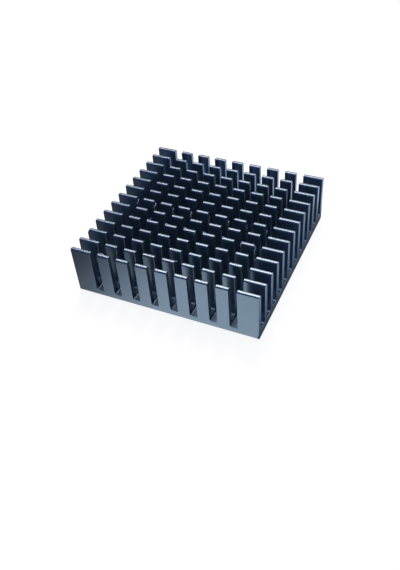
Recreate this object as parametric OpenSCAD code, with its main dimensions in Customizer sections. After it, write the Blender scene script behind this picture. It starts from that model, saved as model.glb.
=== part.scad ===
// Pin fin heat sink: a finned aluminium extrusion, cross-sawn into a field of pins.
// X runs along the extrusion, Y across the fins and Z up from the flat mounting face.

/* [Plan] */
// Length of the cut-off piece, along the fins
length = 40; // [32:0.5:60]
// Width of the extrusion, across the fins
width = 40; // [32:0.5:60]

/* [Base] */
// Height of the channel floors above the mounting face
base_t = 1.75; // [1.2:0.05:3]
// Radius of the extrusion's two bottom corners
bottom_r = 0.2; // [0.1:0.05:0.5]

/* [Fins] */
// Overall height, from the mounting face to the fin tips
height = 11; // [8:0.25:16]
// Spacing of the fins, centre to centre
fin_pitch = 3.25; // [3:0.05:4.5]
// Thickness of a fin at its tip, before the edges are rounded
tip_t = 0.95; // [0.85:0.05:1.2]
// Thickness of a fin at its root, before the fillets
root_t = 1.2; // [1:0.05:1.5]
// Radius of the rounded edges of a fin tip
tip_r = 0.35; // [0.1:0.05:0.4]
// Radius of the fillets in the corners of a channel floor
root_r = 0.55; // [0.2:0.05:0.7]
// Least thickness left for the outermost fins at their tips
outer_fin_min = 0.85; // [0.85:0.05:1.2]

/* [Saw cuts] */
// Width of a saw cut
saw_w = 1.64; // [1:0.02:2.4]
// Length of a pin, from one saw cut to the next
pin_l = 2.58; // [2:0.02:4]
// Least length left for the pins at the two ends of a fin
end_pin_min = 3.6; // [2:0.1:5]
// How far the saw runs below the channel floors
saw_depth = 0.35; // [0.1:0.05:0.8]
// Radius that the worn side of the saw leaves in one bottom corner of the cut
saw_r = 0.4; // [0.1:0.05:0.6]

/* [Hidden] */

// Facets of a full circle
$fn = 48;
// How far a cutting shape runs past the face that it opens
over = 1;

// The outline has as many fins as the width holds, centred on it.
// What the pitch leaves over goes to the outermost fins.
fin_count = floor((width - 2 * outer_fin_min + tip_t) / fin_pitch) + 1;
channel_count = fin_count - 1;

// The sides of a channel lean back by this angle
channel_h = height - base_t;
channel_root_w = fin_pitch - root_t;
channel_tip_w = fin_pitch - tip_t;
draft = atan((channel_tip_w - channel_root_w) / 2 / channel_h);

// Half the width of a channel at height z
function wall_y(z) = channel_root_w / 2 + (z - base_t) * tan(draft);

// Centre of the round in a floor corner, and where it meets the side
corner_z = base_t + root_r;
corner_y = wall_y(corner_z) - root_r / cos(draft);
corner_end_y = corner_y + root_r * cos(draft);
corner_end_z = corner_z - root_r * sin(draft);

// Centre of the round on a tip's edge, which meets the side level with it
lip_z = height - tip_r;
lip_end_y = wall_y(lip_z);
lip_y = lip_end_y + tip_r;

// The saw cuts are centred on the length, and the two end pins take what is left over
saw_pitch = pin_l + saw_w;
saw_count = floor((length - 2 * end_pin_min - saw_w) / saw_pitch) + 1;
saw_floor_z = base_t - saw_depth;

// Place of item i in a centred row of count items
function in_row(i, count, pitch) = (i - (count - 1) / 2) * pitch;

// The bar before its channels: small rounds below, and the outer fins' tip rounds above
module bar_outline() {
    side = width / 2;
    polygon([
        [-side + bottom_r, 0],
        [side - bottom_r, 0],
        [side, bottom_r],
        [side, height - tip_r],
        [side - tip_r, height],
        [-side + tip_r, height],
        [-side, height - tip_r],
        [-side, bottom_r]
    ]);
    for (s = [-1, 1]) {
        translate([s * (side - bottom_r), bottom_r]) circle(r = bottom_r);
        translate([s * (side - tip_r), height - tip_r]) circle(r = tip_r);
    }
}

// One channel: drafted sides down to a flat floor with round corners
module channel_trough() {
    polygon([
        [-corner_y, base_t],
        [corner_y, base_t],
        [corner_end_y, corner_end_z],
        [lip_end_y, lip_z],
        [-lip_end_y, lip_z],
        [-corner_end_y, corner_end_z]
    ]);
    for (s = [-1, 1])
        translate([s * corner_y, corner_z]) circle(r = root_r);
}

// The channel's mouth, between the rounded edges of two fin tips
module channel_mouth() {
    difference() {
        translate([-lip_y, lip_z]) square([2 * lip_y, tip_r + over]);
        for (s = [-1, 1])
            translate([s * lip_y, lip_z]) circle(r = tip_r);
    }
}

// The extrusion's cross-section, in the Y-Z plane
module fin_profile() {
    difference() {
        bar_outline();
        for (i = [0 : channel_count - 1])
            translate([in_row(i, channel_count, fin_pitch), 0]) {
                channel_trough();
                channel_mouth();
            }
    }
}

// Stands an outline drawn in X and Y upright, and runs it along X, centred
module along_x(run) {
    rotate([90, 0, 90])
        linear_extrude(height = run, center = true) children();
}

// Stands an outline drawn in X and Y upright, and runs it along Y, centred
module along_y(run) {
    rotate([90, 0, 0])
        linear_extrude(height = run, center = true) children();
}

// Cross-section of one saw cut: square, but for the worn round in its -X corner
module saw_kerf() {
    left = -saw_w / 2;
    polygon([
        [left + saw_r, saw_floor_z],
        [saw_w / 2, saw_floor_z],
        [saw_w / 2, height + over],
        [left, height + over],
        [left, saw_floor_z + saw_r]
    ]);
    translate([left + saw_r, saw_floor_z + saw_r]) circle(r = saw_r);
}

// The whole heat sink: the extruded bar less its saw cuts
module heat_sink() {
    color([0.10, 0.13, 0.19])
    difference() {
        along_x(length) fin_profile();
        for (i = [0 : saw_count - 1])
            translate([in_row(i, saw_count, saw_pitch), 0, 0])
                along_y(width + 2 * over) saw_kerf();
    }
}

heat_sink();
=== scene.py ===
"""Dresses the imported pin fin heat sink: its drawn and sawn body, its saw burrs and the studio round it.

X runs along the fins, Y across them and Z up from the mounting face, as in the frame.
"""

import logging
import math
from collections.abc import Sequence
from dataclasses import dataclass, field
from enum import Enum
from typing import ClassVar, Union

import bpy
from mathutils import Matrix, Vector


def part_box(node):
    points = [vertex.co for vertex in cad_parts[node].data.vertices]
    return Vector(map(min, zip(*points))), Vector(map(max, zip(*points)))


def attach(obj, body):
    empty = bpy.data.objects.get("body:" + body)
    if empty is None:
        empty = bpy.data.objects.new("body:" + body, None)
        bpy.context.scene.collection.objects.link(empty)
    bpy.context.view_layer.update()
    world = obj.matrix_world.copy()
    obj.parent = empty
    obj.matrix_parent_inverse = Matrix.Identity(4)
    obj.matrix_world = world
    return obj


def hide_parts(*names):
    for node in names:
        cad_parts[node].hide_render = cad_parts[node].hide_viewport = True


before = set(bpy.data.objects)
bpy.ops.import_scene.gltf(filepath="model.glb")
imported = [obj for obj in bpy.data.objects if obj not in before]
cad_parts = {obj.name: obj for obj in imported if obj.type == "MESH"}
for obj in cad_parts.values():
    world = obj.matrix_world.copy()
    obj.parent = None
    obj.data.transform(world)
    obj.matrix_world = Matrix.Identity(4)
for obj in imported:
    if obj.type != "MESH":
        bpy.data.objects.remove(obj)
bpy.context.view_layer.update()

LOG = logging.getLogger("heat_sink")
MM = 0.001
NODE = "heat_sink"
BODY = "root"

Triple = tuple[float, float, float]
Span = tuple[float, float]
Value = Union["Field", bpy.types.NodeSocket, float, int, str, bool, Sequence]
Inputs = dict[Union[str, int], Value]


# --- Node trees ---------------------------------------------------------------------------------


@dataclass(frozen=True)
class Field:
    """A value in a node tree. Arithmetic on it adds Math nodes."""

    graph: "Graph"
    socket: bpy.types.NodeSocket

    def math(self, operation: str, *others: Value) -> "Field":
        """Feeds this value and others to a Math node.

        Args:
            operation: The Math node's operation.
            others: The node's second and third values, where it has them.

        Returns:
            The node's result.
        """
        return self.graph.get("ShaderNodeMath", dict(enumerate((self, *others))), operation=operation)

    def __add__(self, other: Value) -> "Field":
        """The sum."""
        return self.math("ADD", other)

    def __sub__(self, other: Value) -> "Field":
        """The difference."""
        return self.math("SUBTRACT", other)

    def __mul__(self, other: Value) -> "Field":
        """The product."""
        return self.math("MULTIPLY", other)

    def __truediv__(self, other: Value) -> "Field":
        """The quotient."""
        return self.math("DIVIDE", other)

    def __lt__(self, other: Value) -> "Field":
        """One where this value is the smaller, otherwise nought."""
        return self.math("LESS_THAN", other)

    def __gt__(self, other: Value) -> "Field":
        """One where this value is the larger, otherwise nought."""
        return self.math("GREATER_THAN", other)

    def abs(self) -> "Field":
        """The size without its sign."""
        return self.math("ABSOLUTE")

    def sign(self) -> "Field":
        """Minus one, nought or one."""
        return self.math("SIGN")

    def floor(self) -> "Field":
        """The whole number at or below."""
        return self.math("FLOOR")

    def pick(self, when_one: Value, when_nought: Value) -> "Field":
        """Chooses between two values.

        Args:
            when_one: The value taken where this one is 1.
            when_nought: The value taken where this one is 0.

        Returns:
            The chosen value.
        """
        inputs = {"Factor": self, "A": when_nought, "B": when_one}
        return self.graph.get("ShaderNodeMix", inputs, data_type="FLOAT", clamp_factor=True)


class Graph:
    """Writes a node tree: adds its nodes, and sets or links their inputs."""

    def __init__(self, tree: bpy.types.NodeTree) -> None:
        """Takes the tree to write in.

        Args:
            tree: A shader tree or a geometry tree.
        """
        self.tree = tree

    def node(self, kind: str, inputs: Inputs | None = None, **settings: object) -> bpy.types.Node:
        """Adds a node.

        Args:
            kind: The node's type.
            inputs: Values or fields for its inputs, by name or by place.
            settings: Its other properties.

        Returns:
            The new node.
        """
        node = self.tree.nodes.new(kind)
        for name, value in settings.items():
            setattr(node, name, value)
        for key, value in (inputs or {}).items():
            self.feed(node.inputs[key], value)
        return node

    def get(
        self,
        kind: str,
        inputs: Inputs | None = None,
        out: str | int = 0,
        **settings: object,
    ) -> Field:
        """Adds a node and takes one of its outputs.

        Args:
            kind: The node's type.
            inputs: Values or fields for its inputs, by name or by place.
            out: The output's name or place.
            settings: The node's other properties.

        Returns:
            The output.
        """
        return Field(self, self.node(kind, inputs, **settings).outputs[out])

    def feed(self, socket: bpy.types.NodeSocket, value: Value) -> None:
        """Links a field to an input, or sets the input's own value.

        Args:
            socket: The input.
            value: A field, a socket or a plain value. A list of fields goes to a socket that takes
                several.
        """
        if isinstance(value, Field):
            self.tree.links.new(value.socket, socket)
        elif isinstance(value, bpy.types.NodeSocket):
            self.tree.links.new(value, socket)
        elif isinstance(value, list):
            for item in value:
                self.feed(socket, item)
        else:
            socket.default_value = value

    def vector(self, x: Value = 0.0, y: Value = 0.0, z: Value = 0.0) -> Field:
        """The vector with these three parts."""
        return self.get("ShaderNodeCombineXYZ", {"X": x, "Y": y, "Z": z})

    def parts(self, vector: Value) -> list[Field]:
        """The X, Y and Z of a vector."""
        node = self.node("ShaderNodeSeparateXYZ", {"Vector": vector})
        return [Field(self, part) for part in node.outputs]

    def scaled(self, vector: Value, scale: Triple) -> Field:
        """The vector with each part multiplied by its own number."""
        return self.get("ShaderNodeVectorMath", {0: vector, 1: scale}, operation="MULTIPLY")

    def noise(self, place: Value, size: float, detail: float) -> Field:
        """Smooth noise from 0 to 1.

        Args:
            place: Where it is read.
            size: The size of its largest patches, in the units of the place.
            detail: How many finer layers it has.

        Returns:
            The noise.
        """
        return self.get("ShaderNodeTexNoise", {"Vector": place, "Scale": 1 / size, "Detail": detail})

    def mixed(self, share: Value, first: Field, second: Field) -> Field:
        """The first shader where the share is 0, and the second where it is 1."""
        return self.get("ShaderNodeMixShader", {"Fac": share, 1: first, 2: second})


class GeometryTree(Graph):
    """A geometry tree with named inputs, and the modifier that runs it."""

    SOCKETS = {
        float: "NodeSocketFloat",
        int: "NodeSocketInt",
        bpy.types.Material: "NodeSocketMaterial",
    }

    def __init__(self, name: str, values: dict[str, float | int | bpy.types.Material]) -> None:
        """Makes the tree with one input for each value.

        Args:
            name: The tree's name.
            values: What each named input is set to.
        """
        super().__init__(bpy.data.node_groups.new(name, "GeometryNodeTree"))
        self.values = values
        interface = self.tree.interface
        interface.new_socket("Geometry", in_out="INPUT", socket_type="NodeSocketGeometry")
        for label, value in values.items():
            interface.new_socket(label, in_out="INPUT", socket_type=self.SOCKETS[type(value)])
        interface.new_socket("Geometry", in_out="OUTPUT", socket_type="NodeSocketGeometry")
        self.inputs = self.node("NodeGroupInput")

    def size(self, label: str) -> Field:
        """The named input."""
        return Field(self, self.inputs.outputs[label])

    def coloured(self, geometry: Field, material: str, where: Value = True) -> Field:
        """Gives faces a material.

        Args:
            geometry: The solid.
            material: The name of the input that holds the material.
            where: Which of the solid's faces.

        Returns:
            The solid with the material.
        """
        return self.get("GeometryNodeSetMaterial", {
            "Geometry": geometry,
            "Selection": where,
            "Material": self.size(material),
        })

    def finish(self, geometry: Field) -> None:
        """Sends the geometry to the tree's output."""
        self.node("NodeGroupOutput", {"Geometry": geometry})

    def run_on(self, piece: bpy.types.Object) -> None:
        """Adds the tree to a piece as a modifier, with its inputs set.

        Args:
            piece: The piece that the tree makes or changes.
        """
        modifier = piece.modifiers.new(self.tree.name, "NODES")
        modifier.node_group = self.tree
        for item in self.tree.interface.items_tree:
            if item.in_out == "INPUT" and item.name in self.values:
                modifier[item.identifier] = self.values[item.name]


def new_piece(name: str, points: Sequence[Vector] = ()) -> bpy.types.Object:
    """Makes a piece whose mesh holds only loose points.

    Args:
        name: The piece's name.
        points: Its points.

    Returns:
        The piece, in the scene.
    """
    mesh = bpy.data.meshes.new(name)
    mesh.from_pydata(list(points), [], [])
    piece = bpy.data.objects.new(name, mesh)
    bpy.context.scene.collection.objects.link(piece)
    return piece


def settle(piece: bpy.types.Object) -> None:
    """Turns what a piece's modifiers make into its own plain mesh, and removes them.

    Args:
        piece: The piece.
    """
    graph = bpy.context.evaluated_depsgraph_get()
    mesh = bpy.data.meshes.new_from_object(piece.evaluated_get(graph), depsgraph=graph)
    mesh.name = piece.name
    piece.modifiers.clear()
    piece.data = mesh


def report(piece: bpy.types.Object) -> None:
    """Logs how many faces a piece has."""
    LOG.info("%s: %d faces", piece.name, len(piece.data.polygons))


def empty_graph(owner: bpy.types.Material | bpy.types.World) -> Graph:
    """Clears the node tree of a material or a world.

    Args:
        owner: The material or the world.

    Returns:
        Its empty tree, ready to be written.
    """
    owner.use_nodes = True
    owner.node_tree.nodes.clear()
    return Graph(owner.node_tree)


# --- Finishes -----------------------------------------------------------------------------------


@dataclass(frozen=True)
class Anodised:
    """Dyed and sealed aluminium: a dark metal under a thin clear skin of oxide."""

    name: str
    colour: Triple
    roughness: float
    metallic: float = 0.85
    coat: float = 0.9
    coat_roughness: float = 0.26
    oxide_index: float = 1.6
    dye_patch: float = 9.0
    dye_spread: float = 0.16
    grain: float = 0.07
    grain_depth: float = 0.0010
    mark_depth: float = 0.0025
    roughness_spread: float = 0.10

    # The places of a Mix node's two colours among its inputs, and of their mix among its outputs
    MIX_PLACES: ClassVar[tuple[int, int, int]] = (6, 7, 2)

    def marks(self, graph: Graph, place: Field) -> Field:
        """The height of the tool marks, from 0 to 1.

        Args:
            graph: The material's tree.
            place: The place on the piece, in millimetres.

        Returns:
            The height.
        """
        raise NotImplementedError

    def build(self) -> bpy.types.Material:
        """Makes the material.

        Returns:
            The material, with its node tree.
        """
        material = bpy.data.materials.new(self.name)
        graph = empty_graph(material)
        place = graph.scaled(graph.get("ShaderNodeTexCoord", out="Object"), (1 / MM, 1 / MM, 1 / MM))
        marks = self.marks(graph, place)
        grain = graph.noise(place, self.grain, 2.0)
        relief = marks * self.mark_depth + grain * self.grain_depth
        bump = graph.get("ShaderNodeBump", {"Height": relief * MM, "Strength": 1.0, "Distance": 1.0})
        shader = graph.node("ShaderNodeBsdfPrincipled", {
            "Base Color": self.dye(graph, place),
            "Roughness": self.worn_roughness(marks, grain),
            "Normal": bump,
            "Metallic": self.metallic,
            "Coat Weight": self.coat,
            "Coat Roughness": self.coat_roughness,
            "Coat IOR": self.oxide_index,
        })
        graph.node("ShaderNodeOutputMaterial", {"Surface": shader.outputs["BSDF"]})
        return material

    def dye(self, graph: Graph, place: Field) -> Field:
        """The colour, a little deeper where the dye took better.

        Args:
            graph: The material's tree.
            place: The place on the piece, in millimetres.

        Returns:
            The colour.
        """
        pale, deep = (
            (*(part * (1 + side * self.dye_spread) for part in self.colour), 1.0)
            for side in (1, -1)
        )
        from_colour, to_colour, result = self.MIX_PLACES
        cloud = graph.noise(place, self.dye_patch, 3.0)
        inputs = {"Factor": cloud, from_colour: deep, to_colour: pale}
        return graph.get("ShaderNodeMix", inputs, out=result, data_type="RGBA")

    def worn_roughness(self, marks: Field, grain: Field) -> Field:
        """The roughness, which follows the marks and the grain.

        Args:
            marks: The height of the tool marks.
            grain: The height of the etched grain.

        Returns:
            The roughness.
        """
        return (marks + grain - 1.0) * self.roughness_spread + self.roughness


@dataclass(frozen=True)
class DrawnSkin(Anodised):
    """The skin of the extrusion, with the fine straight lines that the die drew along X."""

    line_width: float = 0.12
    line_length: float = 14.0

    def marks(self, graph: Graph, place: Field) -> Field:
        """The height of the die lines, as on Anodised."""
        scale = (1 / self.line_length, 1 / self.line_width, 1 / self.line_width)
        return graph.noise(graph.scaled(place, scale), 1.0, 2.0)


@dataclass(frozen=True)
class SawnFace(Anodised):
    """A face left by the saw gang, with the arcs that its teeth scored as they passed along Y."""

    blade_radius: float = 32.0
    blade_floor: float = 1.4
    tooth_step: float = 0.16

    def marks(self, graph: Graph, place: Field) -> Field:
        """The height of the saw's arcs, as on Anodised.

        Args:
            graph: The material's tree.
            place: The place on the piece, in millimetres.

        Returns:
            The height.
        """
        along, across, up = graph.parts(place)
        from_axle = up - (self.blade_floor + self.blade_radius)
        squared = from_axle * from_axle * -1.0 + self.blade_radius**2
        reach = squared.math("MAXIMUM", 0.0).math("SQRT")
        return graph.noise(graph.vector((across - reach) / self.tooth_step, along), 1.0, 1.0)


@dataclass(frozen=True)
class TornEdge(Anodised):
    """A burr's bruised metal, paler and bluer than the body: thin dye and a painted glint."""

    metallic: float = 0.80
    tear: float = 0.08

    def marks(self, graph: Graph, place: Field) -> Field:
        """The height of the tears, as on Anodised."""
        return graph.noise(place, self.tear, 3.0)


# --- The body -----------------------------------------------------------------------------------


@dataclass
class SinkBody:
    """The finned extrusion with its saw cuts, in millimetres.

    Corners that turn by more than the break angle are broken. Edges are shaded as rounds up to the
    smooth angle and as corners past it.
    """

    length: float
    width: float
    height: float
    skin: bpy.types.Material
    sawn: bpy.types.Material
    base: float = 1.75
    bottom_radius: float = 0.2
    pitch: float = 3.25
    fins: int = 13
    tip: float = 0.95
    root: float = 1.2
    tip_radius: float = 0.35
    root_radius: float = 0.55
    saw_width: float = 1.64
    pin_length: float = 2.58
    saw_cuts: int = 8
    saw_floor: float = 1.4
    saw_radius: float = 0.4
    edge_break: float = 0.08
    edge_steps: int = 2
    nick_fin: int = 3
    nick_length: float = 0.4
    nick_drop: float = 0.75
    over: float = 1.0
    round_steps: int = 7
    break_angle: float = math.radians(50)
    smooth_angle: float = math.radians(15)

    def build(self) -> None:
        """Makes and dresses the body, with its edges broken as tumbling leaves them."""
        piece = new_piece("sink_body")
        self.tree().run_on(piece)
        bevel = piece.modifiers.new("broken_edges", "BEVEL")
        bevel.limit_method = "WEIGHT"
        bevel.width = self.edge_break * MM
        bevel.segments = self.edge_steps
        bevel.use_clamp_overlap = False
        settle(piece)
        piece.data.set_sharp_from_angle(angle=self.smooth_angle)
        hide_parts(NODE)
        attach(piece, BODY)
        report(piece)

    def tree(self) -> GeometryTree:
        """Writes the tree that draws the section, runs it along X and saws it across.

        Returns:
            The tree.
        """
        tree = GeometryTree("drawn_and_sawn", {
            "Length": self.length * MM,
            "Width": self.width * MM,
            "Height": self.height * MM,
            "Base": self.base * MM,
            "Bottom Radius": self.bottom_radius * MM,
            "Fin Pitch": self.pitch * MM,
            "Fins": self.fins,
            "Tip": self.tip * MM,
            "Root": self.root * MM,
            "Tip Radius": self.tip_radius * MM,
            "Root Radius": self.root_radius * MM,
            "Saw Width": self.saw_width * MM,
            "Saw Pitch": (self.saw_width + self.pin_length) * MM,
            "Saw Cuts": self.saw_cuts,
            "Saw Floor": self.saw_floor * MM,
            "Saw Radius": self.saw_radius * MM,
            "Nick Fin": self.nick_fin,
            "Nick Length": self.nick_length * MM,
            "Nick Drop": self.nick_drop * MM,
            "Over": self.over * MM,
            "Round Steps": self.round_steps,
            "Skin": self.skin,
            "Sawn": self.sawn,
        })
        cut = tree.get(
            "GeometryNodeMeshBoolean",
            {"Mesh 1": self.bar(tree), "Mesh 2": [self.kerfs(tree), self.nick(tree)]},
            operation="DIFFERENCE",
            solver="EXACT",
        )
        turn = tree.get("GeometryNodeInputMeshEdgeAngle", out="Signed Angle")
        weighted = tree.get("GeometryNodeStoreNamedAttribute", {
            "Geometry": cut,
            "Name": "bevel_weight_edge",
            "Value": turn > self.break_angle,
        }, data_type="FLOAT", domain="EDGE")
        tree.finish(tree.get("GeometryNodeSetShadeSmooth", {"Geometry": weighted}, domain="FACE"))
        return tree

    def sweep(self, tree: GeometryTree, outline: Field, half: Field, along: Vector) -> Field:
        """Runs a closed outline along a straight line through the origin, and caps it.

        Args:
            tree: The tree being written.
            outline: The closed outline. To one who looks along the line, its X points right and
                its Y up.
            half: Half the length of the line.
            along: The line's direction.

        Returns:
            The solid.
        """
        start, end = (
            tree.get("ShaderNodeVectorMath", {0: tuple(along * side), "Scale": half}, operation="SCALE")
            for side in (-1, 1)
        )
        line = tree.get("GeometryNodeCurvePrimitiveLine", {"Start": start, "End": end})
        upright = tree.get("GeometryNodeSetCurveNormal", {"Curve": line}, mode="Z_UP")
        turned = tree.get("GeometryNodeTransform", {
            "Geometry": outline,
            "Rotation": (math.pi, 0.0, 0.0),
        })
        return tree.get("GeometryNodeCurveToMesh", {
            "Curve": upright,
            "Profile Curve": turned,
            "Fill Caps": True,
        })

    def closed_outline(self, tree: GeometryTree, count: Value, place: Field, radius: Value) -> Field:
        """Draws a closed outline and rounds its corners.

        Args:
            tree: The tree being written.
            count: How many corners it has.
            place: Where each corner is, from its index. They run clockwise, so that the solid faces
                outwards.
            radius: The radius of the corners, or of each from its index.

        Returns:
            The outline.
        """
        points = tree.get("GeometryNodeMeshLine", {"Count": count})
        line = tree.get("GeometryNodeMeshToCurve", {"Mesh": points})
        placed = tree.get("GeometryNodeSetPosition", {"Geometry": line, "Position": place})
        ring = tree.get("GeometryNodeSetSplineCyclic", {"Geometry": placed, "Cyclic": True})
        return tree.get("GeometryNodeFilletCurve", {
            "Curve": ring,
            "Count": tree.size("Round Steps"),
            "Radius": radius,
            "Limit Radius": True,
        }, mode="POLY")

    def bar(self, tree: GeometryTree) -> Field:
        """Draws the section and runs it along X.

        The outline has four corners for the bar itself and then four for each channel.
        The second and third corner of each four lie low.

        Args:
            tree: The tree being written.

        Returns:
            The bar, skin on its length and sawn at its two ends.
        """
        index = tree.get("GeometryNodeInputIndex")
        channels = tree.size("Fins") - 1.0
        four = (index / 4.0).floor()
        corner = index - four * 4.0 - 1.5
        side = corner.sign()
        low = corner.abs() < 1.0
        outer = four < 0.5
        tip_gap = (tree.size("Fin Pitch") - tree.size("Tip")) * 0.5
        root_gap = (tree.size("Fin Pitch") - tree.size("Root")) * 0.5
        centre = (four - 1.0 - (channels - 1.0) * 0.5) * tree.size("Fin Pitch")
        in_channel = centre + side * low.pick(root_gap, tip_gap)
        y = outer.pick(side * tree.size("Width") * -0.5, in_channel)
        z = low.pick(outer.pick(0.0, tree.size("Base")), tree.size("Height"))
        low_radius = outer.pick(tree.size("Bottom Radius"), tree.size("Root Radius"))
        radius = low.pick(low_radius, tree.size("Tip Radius"))
        outline = self.closed_outline(tree, channels * 4.0 + 4.0, tree.vector(y, z), radius)
        solid = self.sweep(tree, outline, tree.size("Length") * 0.5, Vector((-1, 0, 0)))
        skinned = tree.coloured(solid, "Skin")
        facing = tree.parts(tree.get("GeometryNodeInputNormal"))[0]
        return tree.coloured(skinned, "Sawn", facing.abs() > 0.5)

    def kerfs(self, tree: GeometryTree) -> Field:
        """Draws one saw cut, worn round in its -X corner, and repeats it along X.

        Args:
            tree: The tree being written.

        Returns:
            The bodies of all the saw cuts.
        """
        index = tree.get("GeometryNodeInputIndex")
        right = index > 1.5
        high = (index - 1.5).abs() < 1.0
        x = (right - 0.5) * tree.size("Saw Width")
        z = high.pick(tree.size("Height") + tree.size("Over"), tree.size("Saw Floor"))
        radius = (index < 0.5) * tree.size("Saw Radius")
        outline = self.closed_outline(tree, 4, tree.vector(x, z), radius)
        run = tree.size("Width") * 0.5 + tree.size("Over")
        cut = self.sweep(tree, outline, run, Vector((0, 1, 0)))
        sawn = tree.coloured(cut, "Sawn")
        first = (tree.size("Saw Cuts") - 1.0) * tree.size("Saw Pitch") * -0.5
        row = tree.get("GeometryNodeMeshLine", {
            "Count": tree.size("Saw Cuts"),
            "Start Location": tree.vector(first),
            "Offset": tree.vector(tree.size("Saw Pitch")),
        })
        gang = tree.get("GeometryNodeInstanceOnPoints", {"Points": row, "Instance": sawn})
        return tree.get("GeometryNodeRealizeInstances", {"Geometry": gang})

    def nick(self, tree: GeometryTree) -> Field:
        """Draws the wedge that is knocked off the -X top corner of one fin.

        Args:
            tree: The tree being written.

        Returns:
            The wedge.
        """
        index = tree.get("GeometryNodeInputIndex")
        high = index > 0.5
        right = index > 1.5
        corner = tree.size("Length") * -0.5
        slope = tree.size("Nick Drop") / tree.size("Nick Length")
        right_x = tree.size("Nick Length") + tree.size("Over") / slope
        x = corner + right.pick(right_x, tree.size("Over") * -1.0)
        low_z = tree.size("Height") - tree.size("Nick Drop") - slope * tree.size("Over")
        z = high.pick(tree.size("Height") + tree.size("Over"), low_z)
        outline = self.closed_outline(tree, 3, tree.vector(x, z), 0.0)
        wedge = self.sweep(tree, outline, tree.size("Fin Pitch") * 0.5, Vector((0, 1, 0)))
        place = (tree.size("Nick Fin") - (tree.size("Fins") + 1.0) * 0.5) * tree.size("Fin Pitch")
        moved = tree.get("GeometryNodeTransform", {
            "Geometry": wedge,
            "Translation": tree.vector(0.0, place),
        })
        return tree.coloured(moved, "Sawn")

    def fin_y(self, fin: int) -> float:
        """Where a fin stands across the part, in millimetres, counted from 1 at the -Y side."""
        return (fin - (self.fins + 1) / 2) * self.pitch

    def pin_end_x(self, pin: int, end: "PinEnd") -> float:
        """Where a pin ends along the fin, in millimetres.

        Args:
            pin: The pin, counted from 1 at the -X side.
            end: Which of its ends.

        Returns:
            The place of that end along X.
        """
        middle = (pin - (self.saw_cuts + 2) / 2) * (self.saw_width + self.pin_length)
        reach = middle + end.value * self.pin_length / 2
        return max(-self.length / 2, min(self.length / 2, reach))


# --- What the saw left --------------------------------------------------------------------------


class PinEnd(Enum):
    """An end of a pin, by the way that it faces along X."""

    LEFT = -1
    RIGHT = 1


@dataclass(frozen=True)
class Burr:
    """A sliver of metal that the saw left on the end of a pin, in millimetres and degrees.

    Fins are counted from 1 at the -Y side and pins from 1 at the -X side. The sliver starts out from
    the pin's end, across from the middle of its fin and below its tip. It sets off on its heading,
    from +X about Z, at its rise above the level. It turns by its bend over its reach and wavers by
    its sway.
    """

    fin: int
    pin: int
    end: PinEnd
    out: float
    across: float
    below: float
    heading: float
    rise: float
    bend: float
    sway: float
    reach: float
    girth: float


def hung_burrs() -> list[Burr]:
    """The slivers that hang on the saw's exit side, all along the middle fin.

    Returns:
        One burr for each saw cut.
    """
    thinnest = 0.08
    return [
        Burr(
            fin=(SinkBody.fins + 1) // 2,
            pin=pin,
            end=PinEnd.RIGHT,
            out=0.0,
            across=0.31,
            below=0.55 + 0.11 * pin,
            heading=-66 + 4 * math.sin(pin * 2.3),
            rise=-6,
            bend=-8,
            sway=0.10,
            reach=1.85 - 0.07 * pin,
            girth=max(0.20 - 0.012 * pin - 0.08 * (pin % 2), thinnest),
        )
        for pin in range(1, SinkBody.saw_cuts + 1)
    ]


def loose_burrs() -> list[Burr]:
    """The lips, hooks and curls on single pins, most of them on the fifth fin.

    Returns:
        The burrs.
    """
    left, right = PinEnd
    return [
        Burr(5, 2, left, -0.60, 0.26, 0.10, 100, 62, 40, 0.0, 0.50, 0.16),
        Burr(5, 3, left, 0.22, 0.30, 0.16, 4, 34, -66, 0.0, 0.60, 0.26),
        Burr(5, 3, left, -0.45, 0.30, 0.06, 80, 42, -80, 0.0, 0.65, 0.22),
        Burr(5, 4, left, 0.24, 0.28, 0.18, 6, 44, -82, 0.0, 0.70, 0.32),
        Burr(5, 5, left, 0.26, 0.26, 0.18, 8, 50, -90, 0.0, 0.80, 0.38),
        Burr(5, 5, right, -0.02, -0.15, 0.28, -100, -8, -10, 0.10, 0.65, 0.16),
        Burr(5, 6, left, 0.26, 0.28, 0.18, 12, 52, -96, 0.0, 0.75, 0.34),
        Burr(5, 7, left, 0.26, 0.24, 0.16, 6, 40, -70, 0.0, 0.70, 0.32),
        Burr(5, 8, left, 0.14, 0.40, 0.10, -84, 8, -30, 0.02, 1.50, 0.16),
        Burr(5, 8, right, -0.05, -0.05, 0.12, -61, -3, -10, 0.12, 2.20, 0.10),
        Burr(5, 9, left, -0.02, 0.20, 0.30, 252, -8, -14, 0.04, 1.00, 0.15),
        Burr(1, 2, left, 0.02, 0.34, 0.06, 0, 12, -24, 0.0, 1.30, 0.28),
        Burr(2, 5, right, -0.20, 0.10, 0.08, 8, 14, -14, 0.0, 0.80, 0.28),
        Burr(4, 9, left, -0.02, 0.20, 0.30, 255, -8, -10, 0.03, 0.90, 0.12),
    ]


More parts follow.
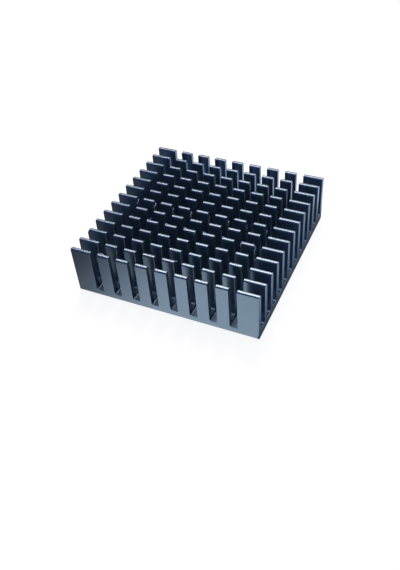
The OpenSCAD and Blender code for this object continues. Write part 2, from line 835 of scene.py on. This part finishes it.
@dataclass
class SawBurrs:
    """The burrs, as flat tapered slivers that are bedded in the pins."""

    body: SinkBody
    material: bpy.types.Material
    burrs: list[Burr] = field(default_factory=lambda: hung_burrs() + loose_burrs())
    steps: int = 15
    sides: int = 8
    flatness: float = 0.45
    taper: float = 0.65

    def build(self) -> None:
        """Makes and dresses the burrs of all the pins, as one piece."""
        piece = new_piece("saw_burrs", [self.root(burr) for burr in self.burrs])
        for label, values in {
            "heading": [math.radians(b.heading) for b in self.burrs],
            "rise": [math.radians(b.rise) for b in self.burrs],
            "bend": [math.radians(b.bend) for b in self.burrs],
            "sway": [b.sway for b in self.burrs],
            "reach": [b.reach * MM for b in self.burrs],
            "girth": [b.girth * MM for b in self.burrs],
        }.items():
            piece.data.attributes.new(label, "FLOAT", "POINT").data.foreach_set("value", values)
        self.tree().run_on(piece)
        settle(piece)
        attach(piece, BODY)
        report(piece)

    def root(self, burr: Burr) -> Vector:
        """Where a burr starts, a little inside the metal.

        Args:
            burr: The burr.

        Returns:
            The place, in metres.
        """
        x = self.body.pin_end_x(burr.pin, burr.end) + burr.end.value * burr.out
        y = self.body.fin_y(burr.fin) + burr.across
        return Vector((x, y, self.body.height - burr.below)) * MM

    def tree(self) -> GeometryTree:
        """Writes the tree that bends one sliver from each point.

        Returns:
            The tree.
        """
        tree = GeometryTree("bent_slivers", {
            "Steps": self.steps,
            "Sides": self.sides,
            "Flatness": self.flatness,
            "Taper": self.taper,
            "Material": self.material,
        })
        points = tree.get("GeometryNodeMeshToPoints", {
            "Mesh": tree.size("Geometry"),
            "Radius": 1.0,
        })
        kept = tree.get("GeometryNodeStoreNamedAttribute", {
            "Geometry": points,
            "Name": "root",
            "Value": tree.get("GeometryNodeInputPosition"),
        }, data_type="FLOAT_VECTOR", domain="POINT")
        steps = tree.get("GeometryNodeMeshLine", {"Count": tree.size("Steps")})
        blank = tree.get("GeometryNodeMeshToCurve", {"Mesh": steps})
        rows = tree.get("GeometryNodeInstanceOnPoints", {"Points": kept, "Instance": blank})
        lines = tree.get("GeometryNodeRealizeInstances", {"Geometry": rows})
        along = tree.get("GeometryNodeSplineParameter", out="Factor")
        placed = tree.get("GeometryNodeSetPosition", {
            "Geometry": lines,
            "Position": self.arc(tree, along),
        })
        smooth = tree.get("GeometryNodeSetCurveNormal", {"Curve": placed}, mode="MINIMUM_TWIST")
        ring = tree.get("GeometryNodeCurvePrimitiveCircle", {
            "Resolution": tree.size("Sides"),
            "Radius": 0.5,
        }, mode="RADIUS")
        flat = tree.get("GeometryNodeTransform", {
            "Geometry": ring,
            "Scale": tree.vector(1.0, tree.size("Flatness"), 1.0),
        })
        thin = (along * tree.size("Taper") * -1.0 + 1.0) * self.value(tree, "girth")
        solid = tree.get("GeometryNodeCurveToMesh", {
            "Curve": smooth,
            "Profile Curve": flat,
            "Scale": thin,
            "Fill Caps": True,
        })
        shaded = tree.get("GeometryNodeSetShadeSmooth", {"Geometry": solid}, domain="FACE")
        tree.finish(tree.coloured(shaded, "Material"))
        return tree

    def value(self, tree: GeometryTree, label: str, kind: str = "FLOAT") -> Field:
        """The value of that name which a point of the piece carries."""
        return tree.get("GeometryNodeInputNamedAttribute", {"Name": label}, data_type=kind)

    def arc(self, tree: GeometryTree, along: Field) -> Field:
        """Writes where a point of a sliver lies: on an arc from its root, with a waver to the side.

        Args:
            tree: The tree being written.
            along: How far along the sliver the point is, from 0 to 1.

        Returns:
            The place.
        """
        labels = ("heading", "rise", "bend", "sway", "reach")
        heading, rise, bend, sway, reach = (self.value(tree, label) for label in labels)
        turn = bend * along
        radius = reach / bend
        ahead = radius * turn.math("SINE")
        above = radius * (turn.math("COSINE") * -1.0 + 1.0)
        out = ahead * rise.math("COSINE") - above * rise.math("SINE")
        up = ahead * rise.math("SINE") + above * rise.math("COSINE")
        aside = (along * math.tau).math("SINE") * sway * reach
        x = out * heading.math("COSINE") - aside * heading.math("SINE")
        y = out * heading.math("SINE") + aside * heading.math("COSINE")
        root = self.value(tree, "root", "FLOAT_VECTOR")
        return tree.get("ShaderNodeVectorMath", {0: root, 1: tree.vector(x, y, up)}, operation="ADD")


# --- The studio ---------------------------------------------------------------------------------


@dataclass(frozen=True)
class Softbox:
    """A flat soft lamp that looks at the part. Its brightness is 1 where it shows as white."""

    name: str
    towards: Triple
    distance: float
    width: float
    depth: float
    brightness: float
    tint: Triple

    def build(self, target: Vector) -> None:
        """Hangs the lamp.

        Args:
            target: What the lamp looks at.
        """
        lamp = bpy.data.lights.new(self.name, "AREA")
        lamp.shape = "RECTANGLE"
        lamp.size = self.width
        lamp.size_y = self.depth
        lamp.energy = self.brightness * math.pi * self.width * self.depth
        lamp.color = self.tint
        holder = bpy.data.objects.new(self.name, lamp)
        way = Vector(self.towards).normalized()
        holder.location = target + way * self.distance
        holder.rotation_euler = way.to_track_quat("Z", "Y").to_euler()
        holder.visible_camera = False
        bpy.context.scene.collection.objects.link(holder)


@dataclass(frozen=True)
class Viewpoint:
    """Where the camera stands: angles in degrees, lengths in metres, lens in millimetres."""

    target: Triple
    azimuth: float
    elevation: float
    distance: float
    roll: float
    lens: float
    nearest: float = 0.001

    def build(self) -> None:
        """Sets up the camera and makes it the scene's own."""
        turn, tilt, lean = (math.radians(a) for a in (self.azimuth, self.elevation, self.roll))
        ahead = Vector((
            -math.sin(turn) * math.cos(tilt),
            math.cos(turn) * math.cos(tilt),
            -math.sin(tilt),
        ))
        level = ahead.cross(Vector((0, 0, 1))).normalized()
        right = level * math.cos(lean) + level.cross(ahead) * math.sin(lean)
        up = right.cross(ahead)
        lens = bpy.data.cameras.new("camera")
        lens.lens = self.lens
        lens.clip_start = self.nearest
        camera = bpy.data.objects.new("camera", lens)
        camera.matrix_world = Matrix((right, up, -ahead)).transposed().to_4x4()
        camera.location = Vector(self.target) - ahead * self.distance
        bpy.context.scene.collection.objects.link(camera)
        bpy.context.scene.camera = camera


@dataclass
class Studio:
    """A pale floor, soft lamps and a surround, in metres.

    The camera sees the floor and the surround white. In reflections the part sees a painted pool of
    light on the floor, dim on its left and bright on its right, and a painted shadow, dark close beside
    its back and right sides and cooler further out; and the surround dark in front and pale behind and
    to the right. A span gives where a change starts and ends, and levels what it leads from and to.
    """

    floor_reach: float = 1.2
    floor_colour: float = 0.9
    floor_glow: float = 0.68
    floor_lift: float = 1.30
    floor_in_mirror: float = 0.9
    # Painted pool of light on the floor in reflections, dim on the part's left and bright on its right.
    painted_pool_span: Span = (-0.030, 0.002)
    painted_pool_levels: Span = (0.06, 1.1)
    # Painted shadow on the floor in reflections: dark close beside the part's right and back sides,
    # cooler further out.
    painted_shadow_from: float = 0.0195
    painted_shadow_span: Span = (0.0205, 0.028)
    painted_shadow_levels: Span = (0.10, 1.1)
    painted_shadow_tint: Triple = (0.62, 0.78, 1.0)
    dusk: Triple = (0.045, 0.056, 0.17)
    day: Triple = (0.60, 0.62, 0.64)
    white: Triple = (1.0, 1.0, 1.0)
    day_towards: Triple = (0.62, 0.50, 0.0)
    day_span: Span = (0.16, 0.60)
    camera: Viewpoint = Viewpoint(
        target=(0.00565, -0.01485, 0.005),
        azimuth=27.68,
        elevation=43.2,
        distance=0.13065,
        roll=-5.02,
        lens=41.92,
    )
    lamps: list[Softbox] = field(default_factory=lambda: [
        Softbox("back_softbox", (-0.25, 0.52, 0.81), 0.40, 0.22, 0.12, 10.4, (1.0, 0.80, 0.64)),
        Softbox("top_softbox", (-0.12, 0.00, 1.0), 0.45, 0.20, 0.20, 1.9, (0.92, 0.94, 1.0)),
    ])

    def build(self) -> None:
        """Sets up the floor, the lamps, the surround and the camera."""
        self.build_floor()
        self.build_surround()
        for lamp in self.lamps:
            lamp.build(Vector((0, 0, 0)))
        self.camera.build()
        bpy.context.scene.view_settings.view_transform = "Standard"

    def seen_directly(self, graph: Graph) -> Field:
        """One for a ray from the camera, a reflection or a refraction, and nought for scattered light.

        Args:
            graph: The tree being written.

        Returns:
            The one or nought.
        """
        path = graph.node("ShaderNodeLightPath")
        labels = ("Is Camera Ray", "Is Glossy Ray", "Is Transmission Ray")
        camera, glossy, through = (Field(graph, path.outputs[label]) for label in labels)
        return camera.math("MAXIMUM", glossy).math("MAXIMUM", through)

    def build_floor(self) -> None:
        """Lays the floor, which shows from above only and keeps the part's shadow."""
        corners = [
            (x * self.floor_reach, y * self.floor_reach, 0.0)
            for x, y in ((-1, -1), (1, -1), (1, 1), (-1, 1))
        ]
        mesh = bpy.data.meshes.new("floor")
        mesh.from_pydata(corners, [], [tuple(range(len(corners)))])
        floor = bpy.data.objects.new("floor", mesh)
        bpy.context.scene.collection.objects.link(floor)
        mesh.materials.append(self.floor_finish())

    def floor_finish(self) -> bpy.types.Material:
        """Makes the floor's material, which is clear from below.

        Returns:
            The material.
        """
        material = bpy.data.materials.new("pale_floor")
        graph = empty_graph(material)
        across, away, _ = graph.parts(graph.get("ShaderNodeTexCoord", out="Object"))
        beyond = across.math("MAXIMUM", away)
        seen = graph.get("ShaderNodeLightPath", out="Is Camera Ray")
        # Painted pool of light: reflections see the floor dim on the part's left and bright on its right.
        pool = self.rise(graph, across, self.painted_pool_span, self.painted_pool_levels)
        open_glow = graph.get("ShaderNodeEmission", {"Strength": seen.pick(self.floor_lift, pool)})
        # Painted shadow: reflections see the floor dark close beside the part's right and back sides,
        # brightening further out.
        painted_shadow_glow = graph.get("ShaderNodeEmission", {
            "Color": (*self.painted_shadow_tint, 1.0),
            "Strength": self.rise(graph, beyond, self.painted_shadow_span, self.painted_shadow_levels),
        })
        # The painted shadow replaces the painted pool beside the part, for all rays but the camera's.
        side = (beyond > self.painted_shadow_from) * (seen * -1.0 + 1.0)
        glow = graph.mixed(side, open_glow, painted_shadow_glow)
        lit = graph.get("ShaderNodeBsdfDiffuse", {"Color": (*[self.floor_colour] * 3, 1.0)})
        glowing = seen.pick(self.floor_glow, self.seen_directly(graph) * self.floor_in_mirror)
        below = graph.get("ShaderNodeNewGeometry", out="Backfacing")
        clear = graph.get("ShaderNodeBsdfTransparent")
        both = graph.mixed(below, graph.mixed(glowing, lit, glow), clear)
        graph.node("ShaderNodeOutputMaterial", {"Surface": both})
        return material

    def rise(self, graph: Graph, value: Field, span: Span, levels: Span) -> Field:
        """Goes smoothly from one level to another.

        Args:
            graph: The tree being written.
            value: What the level follows.
            span: The values where the rise starts and ends.
            levels: The level before the rise and after it.

        Returns:
            The level.
        """
        return graph.get("ShaderNodeMapRange", {
            "Value": value,
            "From Min": span[0],
            "From Max": span[1],
            "To Min": levels[0],
            "To Max": levels[1],
        }, interpolation_type="SMOOTHSTEP")

    def build_surround(self) -> None:
        """Sets the surround, whose pale side is white in reflections."""
        world = bpy.data.worlds.new("surround")
        graph = empty_graph(world)
        dusk, day, white = (
            graph.get("ShaderNodeBackground", {"Color": (*colour, 1.0), "Strength": 1.0})
            for colour in (self.dusk, self.day, self.white)
        )
        way = graph.get("ShaderNodeTexCoord", out="Generated")
        facing = graph.get(
            "ShaderNodeVectorMath",
            {0: way, 1: self.day_towards},
            out="Value",
            operation="DOT_PRODUCT",
        )
        share = self.rise(graph, facing, self.day_span, (0.0, 1.0))
        pale = graph.mixed(self.seen_directly(graph), day, white)
        seen = graph.get("ShaderNodeLightPath", out="Is Camera Ray")
        both = graph.mixed(seen, graph.mixed(share, dusk, pale), white)
        graph.node("ShaderNodeOutputWorld", {"Surface": both})
        bpy.context.scene.world = world


# --- Putting it together ------------------------------------------------------------------------


def main() -> None:
    """Dresses the part and sets up the studio."""
    logging.basicConfig(level=logging.INFO, format="%(name)s %(message)s")
    Studio().build()
    low, high = (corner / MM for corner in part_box(NODE))
    size = high - low
    skin = DrawnSkin("black_anodised_skin", (0.145, 0.24, 0.34), 0.34).build()
    sawn = SawnFace("black_anodised_sawn", (0.13, 0.21, 0.31), 0.32).build()
    # The burrs' colour is paler and bluer than the body's: partly thin dye, partly a painted glint.
    torn = TornEdge("black_anodised_torn_painted_glint", (0.20, 0.33, 0.55), 0.42).build()
    body = SinkBody(size.x, size.y, size.z, skin, sawn)
    body.build()
    SawBurrs(body, torn).build()


if __name__ == "__main__":
    main()
